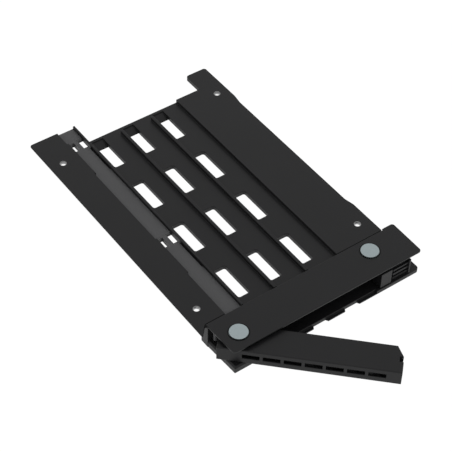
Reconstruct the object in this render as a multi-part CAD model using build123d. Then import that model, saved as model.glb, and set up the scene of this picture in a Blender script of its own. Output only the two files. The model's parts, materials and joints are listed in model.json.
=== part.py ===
"""Hot swap caddy for a small-form-factor drive: a flat moulded tray with a low housing across
its front, which holds a swinging lever and a press latch on two vertical pins.

Millimetres. The origin is the middle of the four drive screw holes, on the plane that the drive
seats on. +X runs to the latch side, +Y to the rear end that enters the bay, +Z up.
"""
import os
from math import cos, radians, sin

from build123d import *

# Running and assembly gaps
seam_gap = 0.2          # between the tray and the rear edge of the cover
side_gap = 0.05         # round the light guide in its channel
pin_gap = 0.05          # radial, between a pin and what turns or sits on it
turn_gap = 0.2          # above and below the hubs of the lever and the latch
head_gap = 0.35         # radial, between a pin's head and its sunk seat in the cover

# Drive screw holes, as on the underside of a small-form-factor drive
hole_span_x = 61.72
hole_span_y = 76.60
hole_radius = 1.0
sleeve_wall = 0.15
recess_radius = 3.25
recess_depth = 0.35

# Tray, measured outwards from the screw holes
left_margin = 4.79
flange_inner_margin = 5.91
right_margin = 3.84
tongue_flare = 0.55     # the rear tongue stands out past the right edge
tongue_flare_length = 3.8
front_flare = 0.75      # and so does the right edge beside the housing
front_flare_start = 17.6
front_flare_length = 3.4
tongue_flare_start = 4.4
front_margin = 6.6
web_rear_margin = 5.35
tongue_rear_margin = 13.7
tongue_width = 8.05
plate_thickness = 1.6
web_drop = 1.25         # the slotted web lies this far under the drive seat
edge_chamfer = 1.2
corner_radius = 1.0
flange_nose = 3.4       # the flange's outer edge runs on past the seam, to a slanted end
seam_rebate = 0.2       # small step along the tray's front edge, behind the cover
seam_rebate_depth = 0.3

# Ribs and bays of the slotted web
bay_pitch = 12.1
bay_count = 3
thin_wall = 0.7
rib_width = 1.1
rib_rear_setback = 2.5
slot_width = 4.2
slot_length = 13.2
slot_shift = 0.15       # the slot rows stand this far behind the middle of the holes
slot_pitch_y = 23.05
slot_rows = 4
slot_corner = 0.7
slot_offset = 3.8       # from the left face of a bay's rib to the middle of its slots
ramp_slot_length = 11.0  # the last row is shorter, with a ramp up from its rear end
ramp_length = 3.4
ramp_step = 0.5         # upright part at the ramp's rear end
step_wall = 1.6

# Light guide and its channel
channel_width = 6.0
channel_floor = 0.8
guide_top_drop = 1.0
guide_end_setback = 0.05
guide_neck = 0.5        # the guide is narrower in front of each pair of openings
guide_neck_right = 0.3  # and less so along its right side
guide_neck_length = 13.2
ledge_overlap = 4.05    # the flange fills the left neck and this much of the left opening
guide_arm_width = 1.0
lens_radius = 0.75
lens_height = 4.5
lens_inset = 1.45       # from the left end of the base
window_y = (41.6, -11.4)
window_right_width = 2.65
window_right_length = 4.8
window_left_width = 2.5
window_left_length = 4.05
window_wall_relief = 2.15

# Housing across the front
housing_depth = 14.0
housing_height = 8.9    # from the cover's underside to the table under the base
housing_left = 6.15     # from the lever pin to the left end of the base at the rear
base_left_taper = 0.75  # and this much less at the front
housing_right = 13.4    # from the latch pin to the right end
base_thickness = 1.5
wall_thickness = 1.2
right_wall_length = 9.1
base_corner = 1.2
pad_rise = 1.0
pad_radius = 5.2
pad_edge = 0.5
post_width = 0.65       # the rear wall ends in a thicker post at the left
post_depth = 3.3
post_overhang = 0.1     # past the left end of the base
lip_depth = 0.9
lip_drop = 1.0
lip_left = 6.0
lip_right = 3.7
lip_notch_width = 5.7
lip_notch_slant = 0.55   # at both ends
lip_notch_pitch = 12.2
lip_notch_start = 24.0

# Cover plate
cover_thickness = 0.6
cover_rise = 0.3
cover_front_setback = 0.1
cover_left_overhang = 0.15
cover_left_taper = 0.5
cover_right_taper = 0.2
cover_left_corner = 1.6
cover_right_corner = 1.0
cover_tab = 0.5         # beside the tray's right edge the cover runs on to the rear
bay_drop = 0.9          # from the cover's underside to the top of the lever
latch_drop = 1.35       # and to the top of the latch

# Pins, with a flat head above the cover and a clip under the base
lever_pin_inset = 4.86  # from the left screw holes
lever_pin_setback = 8.1
latch_pin_inset = 4.46
latch_pin_setback = 4.9
pin_radius = 2.0
pin_head_radius = 2.95
pin_head_height = 0.82
pin_head_sink = 0.4      # of the head's height, in the cover
pin_head_chamfer = 0.12
pin_tail = 0.2
groove_depth = 0.4
groove_height = 0.5
clip_thickness = 0.4
clip_rim = 1.5
clip_slot = 2.4
clip_pocket_radius = 3.7
clip_pocket_depth = 0.95

# Lever, measured along and across its length from its pin
lever_open_angle = 45.0
lever_length = 48.7
lever_heel = 5.7
lever_front = 5.65
lever_rear = 4.3
lever_height = 5.3
lever_heel_radius = 4.0
lever_tip_chamfer_length = 2.1
lever_tip_chamfer_width = 4.0
lever_wall = 0.6
lever_skin = 1.0
lever_end_wall = 2.2
lever_edge = 0.35
lever_hub_radius = 3.0
lever_slot_count = 7
lever_slot_start = 1.9
lever_slot_length = 5.2
lever_slot_gap = 0.98
lever_slot_height = 1.7
lever_slot_drop = 1.7
lever_rib = 0.7
catch_depth = 1.3
catch_width = 2.0
catch_front = 1.6
catch_height = 2.25

# Torsion spring round the lever's hub
lever_spring_wire = 0.22
lever_spring_turns = 3.25
lever_spring_pitch = 0.5
lever_spring_gap = 0.15
lever_spring_leg = 9.0

# Latch, a press pad on an arm with a nose that holds the lever's end
latch_height = 5.85
latch_left = 2.2
latch_right = 9.7
latch_face_setback = 0.3
latch_pad = 2.0
latch_skin = 1.2
latch_wall = 1.2
latch_hub_radius = 3.1
latch_arm_front = 2.0
latch_grip_start = 4.3
latch_grip_margin = 0.7
latch_grip_recess = 0.55
latch_side_groove_width = 0.9   # upright groove at the left end of the ribs
latch_side_groove_depth = 1.2
latch_top_step = 1.4    # over the ribs the pad is as deep as in the grooves
latch_groove_count = 2
latch_groove_height = 0.9
latch_groove_depth = 0.8
latch_groove_pitch = 1.75
latch_groove_drop = 2.1
nose_bite = 0.45
nose_tip = 0.8
nose_tip_front = 3.4
nose_root_front = 2.0
nose_root_width = 3.4
nose_gap = 0.3          # above and below the nose in the lever's catch

# Coil spring that pushes the press pad out
latch_spring_radius = 1.6
latch_spring_wire = 0.2
latch_spring_turns = 5
latch_spring_x = 6.6    # from the latch pin
latch_spring_seat = 1.1
latch_spring_seat_length = 1.2

# Places worked out from the sizes above
hole_x = hole_span_x / 2
hole_y = hole_span_y / 2
left_x = -hole_x - left_margin
flange_x = -hole_x + flange_inner_margin
wall_x = flange_x + channel_width
bay_x = wall_x + thin_wall
step_x = wall_x + bay_count * bay_pitch
right_x = hole_x + right_margin
tongue_x = right_x + tongue_flare - tongue_width
seam_y = -hole_y - front_margin
web_rear_y = hole_y + web_rear_margin
rear_y = hole_y + tongue_rear_margin
web_top = -web_drop
web_bottom = web_top - plate_thickness
channel_top = web_bottom + channel_floor
guide_top = -guide_top_drop

front_y = seam_y - housing_depth
cover_bottom = cover_rise - cover_thickness
base_bottom = cover_bottom - housing_height
base_top = base_bottom + base_thickness
pad_top = base_top + pad_rise
lever_pin_x = -hole_x + lever_pin_inset
latch_pin_x = hole_x - latch_pin_inset
base_left_x = lever_pin_x - housing_left
base_right_x = latch_pin_x + housing_right
lever_pin_y = seam_y - lever_pin_setback
latch_pin_y = seam_y - latch_pin_setback
head_bottom = cover_rise - pin_head_sink
wall_front_y = seam_y - wall_thickness
cover_left_x = base_left_x - cover_left_overhang
cover_front_y = front_y + cover_front_setback

bay_top = cover_bottom - bay_drop
hub_top = cover_bottom - turn_gap
lever_bottom = bay_top - lever_height
latch_top = cover_bottom - latch_drop
latch_bottom = latch_top - latch_height
latch_middle = (latch_top + latch_bottom) / 2
latch_face_y = front_y + latch_face_setback
latch_rear_y = latch_pin_y - latch_arm_front + latch_wall


def block(x0, x1, y0, y1, z0, z1):
    """A box between two opposite corners."""
    place = Pos((x0 + x1) / 2, (y0 + y1) / 2, (z0 + z1) / 2)
    return place * Box(abs(x1 - x0), abs(y1 - y0), abs(z1 - z0))


def disc(x, y, radius, z0, z1):
    """An upright cylinder."""
    return Pos(x, y, (z0 + z1) / 2) * Cylinder(radius, abs(z1 - z0))


def plate(points, z0, z1):
    """A flat plate with the given outline, between two heights."""
    outline = make_face(Polyline(*points, close=True))
    return Pos(0, 0, z0) * extrude(outline, z1 - z0)


def bar(points, y0, y1):
    """A straight bar along Y whose section is given as points in X and Z."""
    section = make_face(Polyline(*[(x, y0, z) for x, z in points], close=True))
    return extrude(section, y1 - y0, dir=(0, 1, 0))


def upright_edges(solid, x, y, reach=0.05):
    """The vertical edges of a solid that stand at one place in the plan."""
    found = [e for e in solid.edges().filter_by(Axis.Z)
             if abs(e.center().X - x) < reach and abs(e.center().Y - y) < reach]
    return found


def rounded(solid, corners, radius):
    """The same solid with its vertical edges at the listed corners rounded."""
    for x, y in corners:
        edges = upright_edges(solid, x, y)
        if edges:
            solid = fillet(edges, radius)
    return solid


def screw_places():
    """The four screw holes."""
    return [(sx * hole_x, sy * hole_y) for sx in (-1, 1) for sy in (-1, 1)]


def left_flange():
    """Flat drive seat along the left side, bevelled under its outer edge."""
    nose_y = seam_y - flange_nose
    points = [(left_x, rear_y), (left_x, nose_y), (cover_left_x - seam_gap, seam_y),
              (flange_x, seam_y), (flange_x, rear_y)]
    flange = plate(points, -plate_thickness, 0)
    flange = rounded(flange, [(left_x, rear_y)], corner_radius)
    bevel = [(left_x, -plate_thickness), (left_x, -plate_thickness + edge_chamfer),
             (left_x + edge_chamfer, -plate_thickness)]
    return flange - bar(bevel, nose_y, rear_y)


def light_channel():
    """Open trough beside the flange, with a thin floor, a thin wall and two ledges."""
    trough = block(flange_x - thin_wall, bay_x, seam_y, rear_y, web_bottom, channel_top)
    trough += block(flange_x - thin_wall, flange_x, seam_y, rear_y, web_bottom, 0)
    trough += block(wall_x, bay_x, seam_y, rear_y, web_bottom, 0)
    for y in window_y:
        trough += block(flange_x, flange_x + guide_neck, y - guide_neck_length,
                        y + ledge_overlap, web_bottom, 0)
    return trough


def right_side():
    """Drive seat on the right with its rear tongue, and the step wall down to the web."""
    edge = right_x + front_flare
    flare_y = seam_y + front_flare_start
    jog_y = hole_y - tongue_flare_start
    points = [(step_x, seam_y), (edge, seam_y), (edge, flare_y - front_flare_length),
              (right_x, flare_y), (right_x, jog_y - tongue_flare_length),
              (right_x + tongue_flare, jog_y),
              (right_x + tongue_flare, rear_y), (tongue_x, rear_y),
              (tongue_x, web_rear_y), (step_x, web_rear_y)]
    seat = plate(points, -plate_thickness, 0)
    corners = [(right_x + tongue_flare, rear_y), (tongue_x, rear_y), (tongue_x, web_rear_y)]
    seat = rounded(seat, corners, corner_radius)
    step = block(step_x, step_x + step_wall, seam_y, web_rear_y, web_bottom, 0)
    return seat + step


def slotted_web():
    """Sunk web between the seats, with two ribs and three columns of vent slots."""
    web = block(bay_x, step_x, seam_y, web_rear_y, web_bottom, web_top)
    for bay in range(1, bay_count):
        x = wall_x + bay * bay_pitch
        web += block(x, x + rib_width, seam_y, web_rear_y - rib_rear_setback, web_bottom, 0)
    first_y = slot_shift - (slot_rows - 1) / 2 * slot_pitch_y - slot_length / 2
    for bay in range(bay_count):
        x = wall_x + bay * bay_pitch + slot_offset
        for row in range(slot_rows):
            last = row == slot_rows - 1
            length = ramp_slot_length if last else slot_length
            y0 = first_y + row * slot_pitch_y
            slot = RectangleRounded(slot_width, length, slot_corner)
            web -= Pos(x, y0 + length / 2, web_bottom) * extrude(slot, plate_thickness)
        web -= ramp_cut(x - slot_width / 2, y0 + ramp_slot_length - slot_corner)
    return web


def ramp_cut(x, y):
    """The wedge that is cut out behind a slot of the last row, so that its end is a ramp."""
    section = [(y, web_top), (y, web_bottom), (y + slot_corner, web_bottom),
               (y + slot_corner + ramp_length, web_top - ramp_step),
               (y + slot_corner + ramp_length, web_top)]
    outline = make_face(Polyline(*[(x, b, z) for b, z in section], close=True))
    return extrude(outline, slot_width, dir=(1, 0, 0))


def guide_windows():
    """Two pairs of openings beside the light guide, for the hooks that hold it."""
    cuts = []
    for y in window_y:
        deep = web_bottom - channel_floor
        right_x0 = bay_x - window_right_width
        cuts.append(block(right_x0, wall_x, y, y + window_right_length, deep, 0))
        cuts.append(block(wall_x, bay_x, y, y + window_right_length, deep, -window_wall_relief))
        cuts.append(block(flange_x + guide_neck, flange_x + window_left_width,
                          y, y + window_left_length, deep, 0))
    return cuts


def housing_base():
    """Floor of the housing with its rear wall, short right wall and the pad under the lever."""
    left_edge = [(base_left_x, seam_y), (base_left_x + base_left_taper, front_y)]
    floor = plate(left_edge + [(base_right_x, front_y), (base_right_x, seam_y)],
                  base_bottom, base_top)
    floor = rounded(floor, [(base_right_x, front_y)], base_corner)
    rear_wall = block(base_left_x, base_right_x, wall_front_y, seam_y, base_bottom, cover_bottom)
    post_left_x = base_left_x - post_overhang
    post_right_x = base_left_x + post_width
    post = block(post_left_x, post_right_x, wall_front_y, wall_front_y + post_depth,
                 base_bottom, -plate_thickness)
    post += block(post_left_x, post_right_x, wall_front_y, seam_y, base_bottom, cover_bottom)
    right_wall = block(base_right_x - wall_thickness, base_right_x, seam_y - right_wall_length,
                       seam_y, base_bottom, cover_bottom)
    pad = plate(left_edge + [(lever_pin_x, front_y), (lever_pin_x, seam_y)],
                base_bottom, pad_top)
    top_edges = pad.edges().group_by(Axis.Z)[-1]
    pad = chamfer([top_edges.sort_by(Axis.X)[0], top_edges.sort_by(Axis.Y)[0]], pad_edge)
    pad += disc(lever_pin_x, lever_pin_y, pad_radius, base_bottom, pad_top)
    return floor + rear_wall + post + right_wall + pad


def front_lip_cuts():
    """What is taken off the front edge of the base: a long step and two through notches."""
    x0 = lever_pin_x + lip_left
    x1 = latch_pin_x - lip_right
    cuts = [block(x0, x1, front_y, front_y + lip_depth, base_top - lip_drop, base_top)]
    for number in range(2):
        x = lever_pin_x + lip_notch_start + number * lip_notch_pitch
        inner_y = front_y + lip_depth
        outline = [(x, front_y), (x + lip_notch_width, front_y),
                   (x + lip_notch_width - lip_notch_slant, inner_y), (x + lip_notch_slant, inner_y)]
        cuts.append(plate(outline, base_bottom, base_top))
    return cuts


def carrier_tray():
    """The black moulding: tray, light channel, slotted web and housing base in one."""
    tray = left_flange() + light_channel() + right_side() + slotted_web() + housing_base()
    for cut in guide_windows() + front_lip_cuts():
        tray -= cut
    # The light guide passes through the housing's rear wall
    tray -= block(flange_x, wall_x, wall_front_y, seam_y, channel_top, cover_bottom)
    tray -= block(cover_left_x, base_right_x, seam_y, seam_y + seam_rebate, -seam_rebate_depth, 0)
    for x, y in screw_places():
        tray -= disc(x, y, recess_radius, -plate_thickness, -plate_thickness + recess_depth)
        tray -= disc(x, y, hole_radius + sleeve_wall, -plate_thickness, 0)
    for x, y in ((lever_pin_x, lever_pin_y), (latch_pin_x, latch_pin_y)):
        tray -= disc(x, y, pin_radius + pin_gap, base_bottom, pad_top)
        tray -= disc(x, y, clip_pocket_radius, base_bottom, base_bottom + clip_pocket_depth)
    seat_x = latch_pin_x + latch_spring_x
    seat = Pos(seat_x, wall_front_y - latch_spring_seat_length / 2, latch_middle)
    tray += seat * Rot(90, 0, 0) * Cylinder(latch_spring_seat, latch_spring_seat_length)
    return tray


def screw_sleeves():
    """Four thin steel sleeves that line the screw holes, pressed in from below."""
    sleeves = []
    for x, y in screw_places():
        bottom = -plate_thickness + recess_depth
        sleeve = disc(x, y, hole_radius + sleeve_wall, bottom, 0)
        sleeves.append(sleeve - disc(x, y, hole_radius, bottom, 0))
    return Compound(children=sleeves)


def light_guide():
    """Flat translucent strip in the channel, with an arm to a small lens at the left end."""
    left = flange_x + side_gap
    right = wall_x - side_gap
    arm_rear_y = wall_front_y - side_gap
    arm_front_y = arm_rear_y - guide_arm_width
    strip = block(left, right, arm_front_y, rear_y - guide_end_setback, channel_top, guide_top)
    for y in window_y:
        strip -= block(bay_x - window_right_width, right, y, y + window_right_length,
                       channel_top, guide_top)
        strip -= block(left, flange_x + window_left_width, y, y + window_left_length,
                       channel_top, guide_top)
        strip -= block(left, left + guide_neck, y - guide_neck_length - side_gap,
                       y + ledge_overlap + side_gap, channel_top, guide_top)
        strip -= block(right - guide_neck_right, right, y - guide_neck_length, y,
                       channel_top, guide_top)
    lens_x = base_left_x + lens_inset + lens_radius
    strip += block(lens_x, left, arm_front_y, arm_rear_y, channel_top, guide_top)
    lens_y = arm_rear_y - lens_radius - side_gap
    lens = disc(lens_x, lens_y, lens_radius, channel_top - lens_height, guide_top)
    lens = fillet(lens.edges().filter_by(GeomType.CIRCLE).sort_by(Axis.Z)[0], lens_radius / 2)
    return strip + lens


def top_cover():
    """Flat lid of the housing, a little wider at the seam, with a sunk seat for each pin."""
    cover_rear_y = seam_y - seam_gap
    tab_x = right_x + front_flare + seam_gap
    tab_y = cover_rear_y + cover_tab
    points = [(cover_left_x, cover_rear_y), (cover_left_x + cover_left_taper, cover_front_y),
              (base_right_x, cover_front_y), (base_right_x + cover_right_taper, tab_y),
              (tab_x, tab_y), (tab_x, cover_rear_y)]
    cover = plate(points, cover_bottom, cover_rise)
    cover = rounded(cover, points[1:2], cover_left_corner)
    cover = rounded(cover, points[2:4], cover_right_corner)
    for x, y in ((lever_pin_x, lever_pin_y), (latch_pin_x, latch_pin_y)):
        cover -= disc(x, y, pin_radius + pin_gap, cover_bottom, cover_rise)
        cover -= disc(x, y, pin_head_radius + head_gap, head_bottom, cover_rise)
    return cover


def pivot_pin(x, y):
    """Steel pin with a broad flat head, grooved near its lower end for a clip."""
    tail = base_bottom + pin_tail
    groove_top = base_bottom + clip_pocket_depth
    pin = disc(x, y, pin_radius, tail, head_bottom)
    ring = disc(x, y, pin_radius, groove_top - groove_height, groove_top)
    ring -= disc(x, y, pin_radius - groove_depth, groove_top - groove_height, groove_top)
    pin -= ring
    head = disc(x, y, pin_head_radius, head_bottom, head_bottom + pin_head_height)
    rim = head.edges().filter_by(GeomType.CIRCLE).sort_by(Axis.Z)[-1]
    return pin + chamfer(rim, pin_head_chamfer)


def pin_clip(x, y):
    """Flat spring-steel clip pushed into the groove under the base."""
    top = base_bottom + clip_pocket_depth
    inner = pin_radius - groove_depth + pin_gap
    clip = disc(x, y, pin_radius - groove_depth + clip_rim, top - clip_thickness, top)
    clip -= disc(x, y, inner, top - clip_thickness, top)
    reach = inner + clip_rim + clip_rim
    clip -= block(x, x + reach, y - clip_slot / 2, y + clip_slot / 2, top - clip_thickness, top)
    return clip


def at_lever(solid):
    """A solid drawn along +X from the lever's pin, put on the pin at the open angle."""
    return Pos(lever_pin_x, lever_pin_y, 0) * Rot(0, 0, -lever_open_angle) * solid


def lever():
    """Long handle, a moulding with an open rear side, cross ribs and a row of front slots."""
    heel_corner = (-lever_heel, lever_rear)
    points = [(-lever_heel, -lever_front), (lever_length, -lever_front),
              (lever_length, lever_rear - lever_tip_chamfer_width),
              (lever_length - lever_tip_chamfer_length, lever_rear), heel_corner]
    body = plate(points, lever_bottom, bay_top)
    body = rounded(body, [heel_corner], lever_heel_radius)
    front_edges = [e for e in body.edges().filter_by(Axis.X)
                   if abs(e.center().Y + lever_front) < 0.01 and e.center().Z > lever_bottom + 1]
    body = fillet(front_edges, lever_edge)

    inner_top = bay_top - lever_skin
    inner_bottom = lever_bottom + lever_skin
    inner_front = -lever_front + lever_wall
    cavity_end = lever_length - lever_end_wall - lever_tip_chamfer_length / 2
    cavity = block(0, cavity_end, inner_front, lever_rear, inner_bottom, inner_top)
    coil_room = lever_hub_radius + lever_spring_gap + 4 * lever_spring_wire
    cavity += disc(0, 0, coil_room, inner_bottom, inner_top)
    cavity += block(-coil_room, 0, 0, lever_rear, inner_bottom, inner_top)
    cavity -= disc(0, 0, lever_hub_radius, inner_bottom, inner_top)
    body -= cavity
    pitch = lever_slot_length + lever_slot_gap
    slot_top = bay_top - lever_slot_drop
    for number in range(lever_slot_count):
        x = lever_slot_start + number * pitch
        body -= block(x, x + lever_slot_length, -lever_front, inner_front,
                      slot_top - lever_slot_height, slot_top)
        if number > 1:
            middle = x - lever_slot_gap / 2
            body += block(middle - lever_rib / 2, middle + lever_rib / 2, inner_front,
                          lever_rear - lever_skin, inner_bottom, inner_top)
    body -= block(lever_length - catch_depth, lever_length, -catch_front,
                  -catch_front + catch_width, bay_top - catch_height, bay_top)
    body += disc(0, 0, lever_hub_radius, bay_top, hub_top)
    body -= disc(0, 0, pin_radius + pin_gap, lever_bottom, hub_top)
    return at_lever(body)


def lever_spring():
    """Torsion spring round the hub: one leg along the lever, one out to the rear wall."""
    radius = lever_hub_radius + lever_spring_gap + lever_spring_wire
    height = lever_spring_pitch * lever_spring_turns
    turn = radians(lever_open_angle)
    leg_start_y = lever_pin_y + radius * sin(turn)
    leg_end_y = wall_front_y - lever_spring_wire - side_gap
    rear_leg = (leg_end_y - leg_start_y) / cos(turn)
    winding = Helix(lever_spring_pitch, height, radius)
    lead = Line((winding @ 0) - (winding % 0) * rear_leg, winding @ 0)
    tail = Line(winding @ 1, (winding @ 1) + (winding % 1) * lever_spring_leg)
    path = Wire([lead.edge(), winding.edge(), tail.edge()])
    section = Plane(origin=path @ 0, z_dir=path % 0) * Circle(lever_spring_wire)
    spring = sweep(section, path, is_frenet=True)
    low = (bay_top + lever_bottom - height) / 2
    return at_lever(Pos(0, 0, low) * Rot(0, 0, 180) * spring)


def latch():
    """Press latch: a ribbed pad on a hollow arm, a hub and a nose for the lever's end."""
    x0 = latch_pin_x - latch_left
    x1 = latch_pin_x + latch_right
    pad_rear_y = latch_face_y + latch_pad
    arm_front_y = latch_pin_y - latch_arm_front
    skin_z = latch_top - latch_skin
    body = block(x0, x1, latch_face_y, pad_rear_y, latch_bottom, latch_top)
    body += block(x0, x1, latch_face_y, latch_rear_y, skin_z, latch_top)
    body += block(x0, x0 + latch_wall, latch_face_y, latch_pin_y, latch_bottom, latch_top)
    body += block(x1 - latch_wall, x1, latch_face_y, latch_rear_y, latch_bottom, latch_top)
    body += block(latch_pin_x, x1, arm_front_y, latch_rear_y, latch_bottom, latch_top)
    body += disc(latch_pin_x, latch_pin_y, latch_hub_radius, latch_bottom, hub_top)

    grip_x0 = x0 + latch_grip_start
    grip_x1 = x1 - latch_grip_margin
    groove_y = latch_face_y + latch_grip_recess + latch_groove_depth
    body -= block(grip_x0, grip_x1, latch_face_y, latch_face_y + latch_grip_recess,
                  latch_bottom, latch_top)
    body -= block(grip_x0, grip_x0 + latch_side_groove_width, latch_face_y,
                  latch_face_y + latch_side_groove_depth, latch_bottom, latch_top)
    body -= block(grip_x0, grip_x1, latch_face_y, groove_y, latch_top - latch_top_step, latch_top)
    for number in range(latch_groove_count):
        top = latch_top - latch_groove_drop - number * latch_groove_pitch
        body -= block(grip_x0, grip_x1, latch_face_y, groove_y, top - latch_groove_height, top)

    tip_x = lever_pin_x + lever_length - nose_bite
    tip_y = latch_pin_y - nose_tip_front
    root_y = latch_pin_y - nose_root_front
    root_x = x0 + latch_wall / 2
    nose_top = bay_top - nose_gap
    nose = plate([(root_x, root_y), (root_x, root_y - nose_root_width),
                  (tip_x, tip_y - nose_tip), (tip_x, tip_y)],
                 nose_top - catch_height + 2 * nose_gap, nose_top)
    body += nose
    return body - disc(latch_pin_x, latch_pin_y, pin_radius + pin_gap, latch_bottom, hub_top)


def coil(radius, wire, pitch, turns):
    """A round-wire coil up the Z axis from the origin."""
    path = Helix(pitch, pitch * turns, radius)
    section = Plane(origin=path @ 0, z_dir=path % 0) * Circle(wire)
    return sweep(section, path, is_frenet=True)


def latch_spring():
    """Short coil spring between the housing's rear wall and the latch arm."""
    reach = wall_front_y - latch_rear_y - 2 * latch_spring_wire - 2 * side_gap
    spring = coil(latch_spring_radius, latch_spring_wire, reach / latch_spring_turns,
                  latch_spring_turns)
    y = latch_rear_y + latch_spring_wire + side_gap
    return Pos(latch_pin_x + latch_spring_x, y, latch_middle) * Rot(-90, 0, 0) * spring


nodes = {
    "carrier_tray": carrier_tray(),
    "screw_sleeves": screw_sleeves(),
    "light_guide": light_guide(),
    "top_cover": top_cover(),
    "lever": lever(),
    "lever_pin": pivot_pin(lever_pin_x, lever_pin_y),
    "lever_pin_clip": pin_clip(lever_pin_x, lever_pin_y),
    "lever_spring": lever_spring(),
    "latch": latch(),
    "latch_pin": pivot_pin(latch_pin_x, latch_pin_y),
    "latch_pin_clip": pin_clip(latch_pin_x, latch_pin_y),
    "latch_spring": latch_spring(),
}

os.makedirs("parts", exist_ok=True)
for name, shape in nodes.items():
    export_step(shape, f"parts/{name}.step")
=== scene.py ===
"""Looks of a hot swap drive caddy: black moulded tray and cover, grey light guide, steel pins."""
import json
from math import cos, radians, sin

import bmesh
import bpy
from mathutils import Matrix, Vector


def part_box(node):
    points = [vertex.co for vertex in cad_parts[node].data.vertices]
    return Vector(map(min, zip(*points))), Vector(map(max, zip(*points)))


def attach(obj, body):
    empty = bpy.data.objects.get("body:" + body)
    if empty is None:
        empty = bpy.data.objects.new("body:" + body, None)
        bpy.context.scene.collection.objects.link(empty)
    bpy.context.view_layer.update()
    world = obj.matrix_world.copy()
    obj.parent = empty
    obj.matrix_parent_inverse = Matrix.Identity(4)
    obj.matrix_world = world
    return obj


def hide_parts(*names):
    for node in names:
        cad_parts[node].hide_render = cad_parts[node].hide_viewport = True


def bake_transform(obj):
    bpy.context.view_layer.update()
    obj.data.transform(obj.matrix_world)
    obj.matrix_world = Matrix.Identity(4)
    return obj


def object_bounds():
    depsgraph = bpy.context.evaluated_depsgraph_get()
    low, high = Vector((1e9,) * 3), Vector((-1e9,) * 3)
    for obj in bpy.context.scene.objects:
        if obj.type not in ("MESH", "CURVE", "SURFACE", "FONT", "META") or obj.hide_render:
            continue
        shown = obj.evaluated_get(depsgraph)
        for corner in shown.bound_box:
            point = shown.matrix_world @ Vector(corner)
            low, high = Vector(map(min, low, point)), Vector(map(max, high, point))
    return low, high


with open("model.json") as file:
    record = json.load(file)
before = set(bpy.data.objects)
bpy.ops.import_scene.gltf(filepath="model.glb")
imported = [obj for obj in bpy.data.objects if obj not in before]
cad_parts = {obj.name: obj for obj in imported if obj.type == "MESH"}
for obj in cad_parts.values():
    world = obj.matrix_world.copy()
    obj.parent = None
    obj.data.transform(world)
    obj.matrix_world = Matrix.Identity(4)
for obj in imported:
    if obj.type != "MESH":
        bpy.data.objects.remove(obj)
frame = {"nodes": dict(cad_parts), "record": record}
cad_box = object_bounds()
nodes = frame["nodes"]

# Tray, cover, lever and latch
# Black ABS, injection moulded in steel tools with a fine spark-eroded grain, which leaves it
# matt charcoal with a faint sheen at low angles. Every edge has the small radius of its mould.
MOULD_BLACK = "#131314"
MOULD_GREY = "#171718"
MOULD_IOR = 1.5
MOULD_SPECULAR = 0.2       # well under a smooth surface's 0.5, because the grain breaks it up
MOULD_SHEEN_SPREAD = 0.04  # how far the grain moves the roughness, both ways
MOULD_BUMP = 0.5
MOULD_EDGE_MM = 0.12
MOULD_EDGE_STEPS = 2
ROUND_PROFILE = 0.5        # a bevel's quarter circle
SHARP_EDGE = radians(40)
FLAT_EDGE = radians(0.5)
WELD_MM = 0.001
MOULD_GRAIN_MM = 0.35      # real grain is near 0.05 mm, drawn coarser so that it shows
MOULD_FLOW_MM = 14.0
MM = 0.001
MIX_SHARE, MIX_FIRST, MIX_SECOND = 0, 6, 7    # a Mix node's inputs, when it mixes colours
MIX_RESULT = 2


def linear(colour):
    """An sRGB hex colour as linear RGBA."""
    parts = [int(colour[i:i + 2], 16) / 255 for i in (1, 3, 5)]
    return [c / 12.92 if c <= 0.04045 else ((c + 0.055) / 1.055) ** 2.4 for c in parts] + [1.0]


def add(tree, kind, settings=None, inputs=None):
    """One node, with its properties set and its inputs given as values or sockets."""
    node = tree.nodes.new(kind)
    for name, value in (settings or {}).items():
        setattr(node, name, value)
    for name, value in (inputs or {}).items():
        if isinstance(value, bpy.types.NodeSocket):
            tree.links.new(value, node.inputs[name])
        else:
            node.inputs[name].default_value = value
    return node


def new_material(name):
    """An empty material with its node tree and its Object coordinates."""
    material = bpy.data.materials.new(name)
    material.use_nodes = True
    tree = material.node_tree
    tree.nodes.clear()
    place = add(tree, "ShaderNodeTexCoord").outputs["Object"]
    return material, tree, place


def finish_material(tree, shader):
    """Joins a shader to the material's output."""
    add(tree, "ShaderNodeOutputMaterial", inputs={"Surface": shader.outputs[0]})


def moulded_black(name, roughness, grain_depth_mm):
    """Black ABS: faint flow marks in the colour, grain in the roughness and the bump."""
    material, tree, place = new_material(name)
    flow = add(tree, "ShaderNodeTexNoise", inputs={
        "Vector": place, "Scale": 1 / (MOULD_FLOW_MM * MM), "Detail": 3.0, "Roughness": 0.55})
    tint = add(tree, "ShaderNodeMix", {"data_type": "RGBA"}, {
        MIX_SHARE: flow.outputs["Fac"],
        MIX_FIRST: linear(MOULD_BLACK), MIX_SECOND: linear(MOULD_GREY)})
    grain = add(tree, "ShaderNodeTexNoise", inputs={
        "Vector": place, "Scale": 1 / (MOULD_GRAIN_MM * MM), "Detail": 2.0, "Roughness": 0.6})
    sheen = add(tree, "ShaderNodeMapRange", inputs={
        "Value": grain.outputs["Fac"], "To Min": roughness - MOULD_SHEEN_SPREAD,
        "To Max": roughness + MOULD_SHEEN_SPREAD})
    bump = add(tree, "ShaderNodeBump", inputs={
        "Height": grain.outputs["Fac"], "Strength": MOULD_BUMP,
        "Distance": grain_depth_mm * MM})
    shader = add(tree, "ShaderNodeBsdfPrincipled", inputs={
        "Base Color": tint.outputs[MIX_RESULT], "Roughness": sheen.outputs["Result"],
        "IOR": MOULD_IOR, "Specular IOR Level": MOULD_SPECULAR,
        "Normal": bump.outputs["Normal"]})
    finish_material(tree, shader)
    return material


def dress(name, material):
    """Gives a solid of the frame its finish."""
    mesh = nodes[name].data
    mesh.materials.clear()
    mesh.materials.append(material)


def shown(data, name):
    """Makes an object of a mesh or a camera's data."""
    piece = bpy.data.objects.new(name, data)
    bpy.context.collection.objects.link(piece)
    return piece


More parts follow.
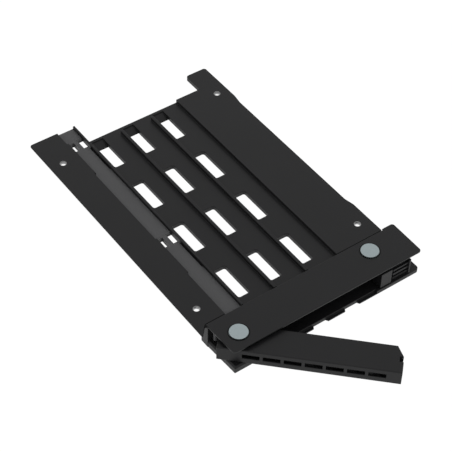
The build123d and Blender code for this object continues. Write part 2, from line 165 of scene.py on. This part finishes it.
def put(mesh, name, body, node):
    """Makes an object of a mesh, which rides on a body and stands for a solid of the frame."""
    piece = shown(mesh, name)
    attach(piece, body)
    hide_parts(node)


def welded(node):
    """A working copy of a solid's mesh, with the points that faces share joined."""
    work = bmesh.new()
    work.from_mesh(nodes[node].data)
    bmesh.ops.remove_doubles(work, verts=work.verts, dist=WELD_MM * MM)
    return work


def finished(work, name, material):
    """Ends a working copy as a mesh with its material."""
    mesh = bpy.data.meshes.new(name)
    work.to_mesh(mesh)
    work.free()
    mesh.materials.append(material)
    return mesh


def moulding(node, name, body, material):
    """A solid of the frame with the small radius of a moulding along its sharp edges."""
    work = welded(node)
    bmesh.ops.dissolve_limit(work, angle_limit=FLAT_EDGE, verts=work.verts, edges=work.edges)
    sharp = [edge for edge in work.edges
             if len(edge.link_faces) == 2 and edge.calc_face_angle() > SHARP_EDGE]
    bmesh.ops.bevel(work, geom=sharp, offset=MOULD_EDGE_MM * MM, offset_type="OFFSET",
                    segments=MOULD_EDGE_STEPS, profile=ROUND_PROFILE, affect="EDGES",
                    clamp_overlap=False)
    bmesh.ops.recalc_face_normals(work, faces=work.faces)
    mesh = finished(work, name, material)
    mesh.shade_flat()
    put(mesh, name, body, node)


tray_black = moulded_black("abs_black_spark_grain", roughness=0.42, grain_depth_mm=0.006)
cover_black = moulded_black("abs_black_cover_grain", roughness=0.40, grain_depth_mm=0.005)
lever_black = moulded_black("abs_black_lever_grain", roughness=0.40, grain_depth_mm=0.005)
latch_black = moulded_black("abs_black_latch_grain", roughness=0.42, grain_depth_mm=0.006)
moulding("carrier_tray", "tray_moulding", "carrier", tray_black)
moulding("top_cover", "cover_moulding", "carrier", cover_black)
moulding("lever", "lever_moulding", "lever", lever_black)
moulding("latch", "latch_moulding", "latch", latch_black)

# Light guide
# A flat strip of smoke-grey polycarbonate, moulded and snapped into its trough. It scatters a
# little light inside, so it looks paler and softer than the black round it.
GUIDE_GREY = "#404041"
GUIDE_PALE = "#464647"
GUIDE_IOR = 1.58
GUIDE_ROUGHNESS = 0.42
GUIDE_SPECULAR = 0.2
GUIDE_SCATTER = 0.15
GUIDE_SCATTER_MM = 0.6
GUIDE_STREAK_MM = 6.0
GUIDE_STREAK_STRETCH = 0.15    # how fast the streaks change along the strip, against across it


def smoked_polycarbonate():
    """Smoke-grey polycarbonate with long faint streaks where it flowed along the strip."""
    material, tree, place = new_material("polycarbonate_smoke_grey")
    along = add(tree, "ShaderNodeMapping", inputs={
        "Vector": place, "Scale": (1.0, GUIDE_STREAK_STRETCH, 1.0)})
    streak = add(tree, "ShaderNodeTexNoise", inputs={
        "Vector": along.outputs["Vector"], "Scale": 1 / (GUIDE_STREAK_MM * MM), "Detail": 3.0})
    tint = add(tree, "ShaderNodeMix", {"data_type": "RGBA"}, {
        MIX_SHARE: streak.outputs["Fac"],
        MIX_FIRST: linear(GUIDE_GREY), MIX_SECOND: linear(GUIDE_PALE)})
    shader = add(tree, "ShaderNodeBsdfPrincipled", inputs={
        "Base Color": tint.outputs[MIX_RESULT], "Roughness": GUIDE_ROUGHNESS,
        "IOR": GUIDE_IOR, "Specular IOR Level": GUIDE_SPECULAR,
        "Subsurface Weight": GUIDE_SCATTER, "Subsurface Radius": [GUIDE_SCATTER_MM * MM] * 3})
    finish_material(tree, shader)
    return material


dress("light_guide", smoked_polycarbonate())

# Pivot pins and their clips
# Cold-headed steel pins, nickel plated and barrelled to a satin grey, held under the base by
# punched clips of bare spring steel.
PIN_GREY = "#98A3A5"
PIN_SHADE = "#919B9D"
PIN_ROUGHNESS = 0.4
CLIP_GREY = "#6E6E70"
CLIP_SHADE = "#5E5E60"
CLIP_ROUGHNESS = 0.35
STEEL_GRAIN_MM = 0.4
STEEL_CLOUD_GRAINS = 4         # each cloud of tone is this many grains wide
STEEL_GLOSS_SPREAD = 0.05
STEEL_BUMP = 0.3
STEEL_MARK_DEPTH_MM = 0.004


def plated_steel(name, pale, shade, roughness, grain_mm):
    """Plated steel with small cloudy changes of tone and fine tumbling marks."""
    material, tree, place = new_material(name)
    cloud = add(tree, "ShaderNodeTexNoise", inputs={
        "Vector": place, "Scale": 1 / (STEEL_CLOUD_GRAINS * grain_mm * MM), "Detail": 4.0})
    tint = add(tree, "ShaderNodeMix", {"data_type": "RGBA"}, {
        MIX_SHARE: cloud.outputs["Fac"], MIX_FIRST: linear(shade), MIX_SECOND: linear(pale)})
    marks = add(tree, "ShaderNodeTexNoise", inputs={
        "Vector": place, "Scale": 1 / (grain_mm * MM), "Detail": 3.0})
    gloss = add(tree, "ShaderNodeMapRange", inputs={
        "Value": marks.outputs["Fac"], "To Min": roughness - STEEL_GLOSS_SPREAD,
        "To Max": roughness + STEEL_GLOSS_SPREAD})
    bump = add(tree, "ShaderNodeBump", inputs={
        "Height": marks.outputs["Fac"], "Strength": STEEL_BUMP,
        "Distance": STEEL_MARK_DEPTH_MM * MM})
    shader = add(tree, "ShaderNodeBsdfPrincipled", inputs={
        "Base Color": tint.outputs[MIX_RESULT], "Metallic": 1.0,
        "Roughness": gloss.outputs["Result"], "Normal": bump.outputs["Normal"]})
    finish_material(tree, shader)
    return material


pin_satin = plated_steel("nickel_plated_pin_steel", PIN_GREY, PIN_SHADE,
                         PIN_ROUGHNESS, STEEL_GRAIN_MM)
clip_steel = plated_steel("bare_spring_steel", CLIP_GREY, CLIP_SHADE,
                          CLIP_ROUGHNESS, STEEL_GRAIN_MM)
for name in ("lever_pin", "latch_pin"):
    dress(name, pin_satin)
for name in ("lever_pin_clip", "latch_pin_clip"):
    dress(name, clip_steel)

# Springs
# A torsion spring round the lever's hub and a short coil spring behind the latch, wound from hard
# drawn steel wire. On the caddy one end stays with the tray and the other follows the piece that
# it pushes; here both springs are drawn still, where they stand in the frame.
WIRE_GREY = "#77777A"
WIRE_SHADE = "#68686B"
WIRE_ROUGHNESS = 0.35
WIRE_THICKNESS_MM = 0.45

spring_wire = plated_steel("drawn_spring_wire", WIRE_GREY, WIRE_SHADE,
                           WIRE_ROUGHNESS, STEEL_GRAIN_MM)


def wound_spring(node, name, axis, fixed_end):
    """A spring's smoothed wire mesh in place of its solid of the frame. Its fixed and free ends
    are worked out from the axis and the fixed end, but nothing uses them, and the spring does not
    move.
    """
    mesh = finished(welded(node), name, spring_wire)
    mesh.shade_smooth()
    mesh.set_sharp_from_angle(angle=SHARP_EDGE)
    piece = shown(mesh, name)
    start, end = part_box(node)
    if fixed_end == "high":
        start, end = end, start
    middle = (start + end) / 2
    inset = WIRE_THICKNESS_MM * MM * (1 if end[axis] > start[axis] else -1)
    fixed, free = middle.copy(), middle.copy()
    fixed[axis] = start[axis] + inset
    free[axis] = end[axis] - inset
    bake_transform(piece)
    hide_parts(node)


wound_spring("lever_spring", "lever_torsion_spring", axis=2, fixed_end="low")
wound_spring("latch_spring", "latch_coil_spring", axis=1, fixed_end="high")

# Screw hole sleeves
# Thin tubes of bright zinc-plated steel, turned with a small radius at both ends and pressed up
# into the four screw holes, so that the screws don't crush the moulding.
SLEEVE_GREY = "#9C9C9C"
SLEEVE_SHADE = "#8C8C8C"
SLEEVE_ROUGHNESS = 0.35
SLEEVE_GRAIN_MM = 0.3
SLEEVE_EDGE_MM = 0.04
SLEEVE_SIDES = 64


def group_inputs(name, sizes):
    """An empty Geometry Nodes tree with a named input for each size."""
    tree = bpy.data.node_groups.new(name, "GeometryNodeTree")
    for size in sizes:
        tree.interface.new_socket(size, in_out="INPUT", socket_type="NodeSocketFloat")
    tree.interface.new_socket("Geometry", in_out="OUTPUT", socket_type="NodeSocketGeometry")
    return tree, add(tree, "NodeGroupInput").outputs


def grown(tree, geometry, material, sizes, name):
    """Ends a tree in real geometry with its material, and returns what it makes as a mesh."""
    real = add(tree, "GeometryNodeRealizeInstances", inputs={"Geometry": geometry})
    dressed = add(tree, "GeometryNodeSetMaterial", inputs={
        "Geometry": real.outputs["Geometry"], "Material": material})
    add(tree, "NodeGroupOutput", inputs={"Geometry": dressed.outputs["Geometry"]})
    blank = bpy.data.meshes.new(name + "_holder")
    holder = shown(blank, name + "_holder")
    modifier = holder.modifiers.new(name, "NODES")
    modifier.node_group = tree
    for item in tree.interface.items_tree:
        if item.in_out == "INPUT":
            modifier[item.identifier] = sizes[item.name]
    seen = holder.evaluated_get(bpy.context.evaluated_depsgraph_get())
    mesh = bpy.data.meshes.new_from_object(seen)
    mesh.name = name
    holder.modifiers.remove(modifier)
    bpy.data.objects.remove(holder)
    bpy.data.meshes.remove(blank)
    return mesh


def on_grid(tree, sizes, instance):
    """Copies of one shape on the corners of a grid that is centred on a place."""
    grid = add(tree, "GeometryNodeMeshGrid", inputs={
        "Size X": sizes["Span X"], "Size Y": sizes["Span Y"]})
    place = add(tree, "ShaderNodeCombineXYZ", inputs={
        "X": sizes["Centre X"], "Y": sizes["Centre Y"], "Z": sizes["Height"]})
    moved = add(tree, "GeometryNodeTransform", inputs={
        "Geometry": grid.outputs["Mesh"], "Translation": place.outputs["Vector"]})
    copies = add(tree, "GeometryNodeInstanceOnPoints", inputs={
        "Points": moved.outputs["Geometry"], "Instance": instance})
    return grid, copies.outputs["Instances"]


def ring(tree, sizes, sides):
    """A flat-sided ring with rounded edges, swept round a circle."""
    path = add(tree, "GeometryNodeCurvePrimitiveCircle", inputs={
        "Resolution": sides, "Radius": sizes["Radius"]})
    section = add(tree, "GeometryNodeCurvePrimitiveQuadrilateral", inputs={
        "Width": sizes["Wall"], "Height": sizes["Length"]})
    soft = add(tree, "GeometryNodeFilletCurve", inputs={
        "Curve": section.outputs["Curve"], "Radius": sizes["Edge"]})
    swept = add(tree, "GeometryNodeCurveToMesh", inputs={
        "Curve": path.outputs["Curve"], "Profile Curve": soft.outputs["Curve"]})
    return swept.outputs["Mesh"]


RING_SIZES = ("Span X", "Span Y", "Centre X", "Centre Y", "Height",
              "Radius", "Wall", "Length", "Edge")


def rings(name, columns, rows, sides, material, sizes):
    """Equal rings in columns and rows."""
    tree, inputs = group_inputs(name, RING_SIZES)
    grid, copies = on_grid(tree, inputs, ring(tree, inputs, sides))
    grid.inputs["Vertices X"].default_value = columns
    grid.inputs["Vertices Y"].default_value = rows
    return grown(tree, copies, material, sizes, name)


sleeve_zinc = plated_steel("zinc_plated_sleeve", SLEEVE_GREY, SLEEVE_SHADE,
                           SLEEVE_ROUGHNESS, SLEEVE_GRAIN_MM)
mount = next(m for m in frame["record"]["mounts"] if m["name"] == "drive_screws")["dims"]
low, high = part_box("screw_sleeves")
span_x = mount["spacing_x_mm"] * MM
span_y = mount["spacing_y_mm"] * MM
outer = (high.x - low.x - span_x) / 2
inner = mount["hole_r_mm"] * MM
sleeves = rings("turned_sleeves", 2, 2, SLEEVE_SIDES, sleeve_zinc, {
    "Span X": span_x, "Span Y": span_y, "Centre X": 0.0, "Centre Y": 0.0,
    "Height": (low.z + high.z) / 2, "Radius": (outer + inner) / 2, "Wall": outer - inner,
    "Length": high.z - low.z, "Edge": SLEEVE_EDGE_MM * MM})
put(sleeves, "turned_sleeves", "carrier", "screw_sleeves")

# Ejector pin marks
# The mould's ejector pins push on the underside of the slotted web, between its slots, and each
# leaves a low ring of flash. They are of the tray's own ABS.
MARK_COLUMNS = 3
MARK_ROWS = 3
MARK_PITCH_X_MM = 12.1
MARK_PITCH_Y_MM = 23.05
MARK_CENTRE_X_MM = -3.05
MARK_RADIUS_MM = 1.5
MARK_WIDTH_MM = 0.16
MARK_HEIGHT_MM = 0.08
MARK_EDGE_MM = 0.02
MARK_SIDES = 48
WEB_UNDERSIDE_MM = -2.85       # the marks stand half their height out of it

marks = rings("ejector_marks", MARK_COLUMNS, MARK_ROWS, MARK_SIDES, tray_black, {
    "Span X": (MARK_COLUMNS - 1) * MARK_PITCH_X_MM * MM,
    "Span Y": (MARK_ROWS - 1) * MARK_PITCH_Y_MM * MM,
    "Centre X": MARK_CENTRE_X_MM * MM, "Centre Y": 0.0, "Height": WEB_UNDERSIDE_MM * MM,
    "Radius": MARK_RADIUS_MM * MM, "Wall": MARK_WIDTH_MM * MM, "Length": MARK_HEIGHT_MM * MM,
    "Edge": MARK_EDGE_MM * MM})
mark_piece = shown(marks, "ejector_marks")
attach(mark_piece, "carrier")

# Floor, light and camera
# A white studio sweep lit evenly from all round, with the camera where the picture was taken.
WHITE = (1.0, 1.0, 1.0, 1.0)
FLOOR_GREY = "#303030"
FLOOR_ROUGHNESS = 0.9
FLOOR_SIZE = 3.0               # metres
FLOOR_GAP_MM = 0.2
CAMERA_PLACE_MM = (-190.05, -268.73, 323.68)
CAMERA_AZIMUTH = radians(36.336)
CAMERA_DROP = radians(45.824)
CAMERA_ROLL = radians(-1.101)
FRAME_SIDE = 452
FOCAL_PIXELS = 1435.9
SENSOR_MM = 36.0
NEAREST, FARTHEST = 0.01, 20.0    # metres from the camera that are drawn


def white_floor():
    """A pale floor just under the caddy, bright enough to show no shadow."""
    material, tree, _ = new_material("studio_white")
    shader = add(tree, "ShaderNodeBsdfPrincipled", inputs={
        "Base Color": linear(FLOOR_GREY), "Roughness": FLOOR_ROUGHNESS,
        "Specular IOR Level": 0.0, "Emission Color": WHITE, "Emission Strength": 1.0})
    finish_material(tree, shader)
    height = cad_box[0].z - FLOOR_GAP_MM * MM
    half = FLOOR_SIZE / 2
    mesh = bpy.data.meshes.new("studio_floor")
    corners = [(-half, -half, height), (half, -half, height),
               (half, half, height), (-half, half, height)]
    mesh.from_pydata(corners, [], [(0, 1, 2, 3)])
    mesh.materials.append(material)
    shown(mesh, "studio_floor")


def even_light():
    """White surroundings that light the caddy evenly from all round."""
    world = bpy.data.worlds.new("studio_light")
    world.use_nodes = True
    surroundings = world.node_tree.nodes["Background"]
    surroundings.inputs["Color"].default_value = WHITE
    surroundings.inputs["Strength"].default_value = 1.0
    bpy.context.scene.world = world
    bpy.context.scene.view_settings.view_transform = "Standard"


def photo_camera():
    """The camera, turned by azimuth, drop and roll, with the picture's field of view."""
    forward = Vector((sin(CAMERA_AZIMUTH) * cos(CAMERA_DROP),
                      cos(CAMERA_AZIMUTH) * cos(CAMERA_DROP), -sin(CAMERA_DROP)))
    level = Vector((cos(CAMERA_AZIMUTH), -sin(CAMERA_AZIMUTH), 0.0))
    down = forward.cross(level)
    right = cos(CAMERA_ROLL) * level + sin(CAMERA_ROLL) * down
    down = -sin(CAMERA_ROLL) * level + cos(CAMERA_ROLL) * down
    turn = Matrix((right, -down, -forward)).transposed().to_4x4()
    data = bpy.data.cameras.new("photo_camera")
    data.sensor_fit = "HORIZONTAL"
    data.sensor_width = SENSOR_MM
    data.lens = data.sensor_width * FOCAL_PIXELS / FRAME_SIDE
    data.clip_start = NEAREST
    data.clip_end = FARTHEST
    camera = shown(data, "photo_camera")
    camera.matrix_world = Matrix.Translation(Vector(CAMERA_PLACE_MM) * MM) @ turn
    bpy.context.scene.camera = camera


white_floor()
even_light()
photo_camera()
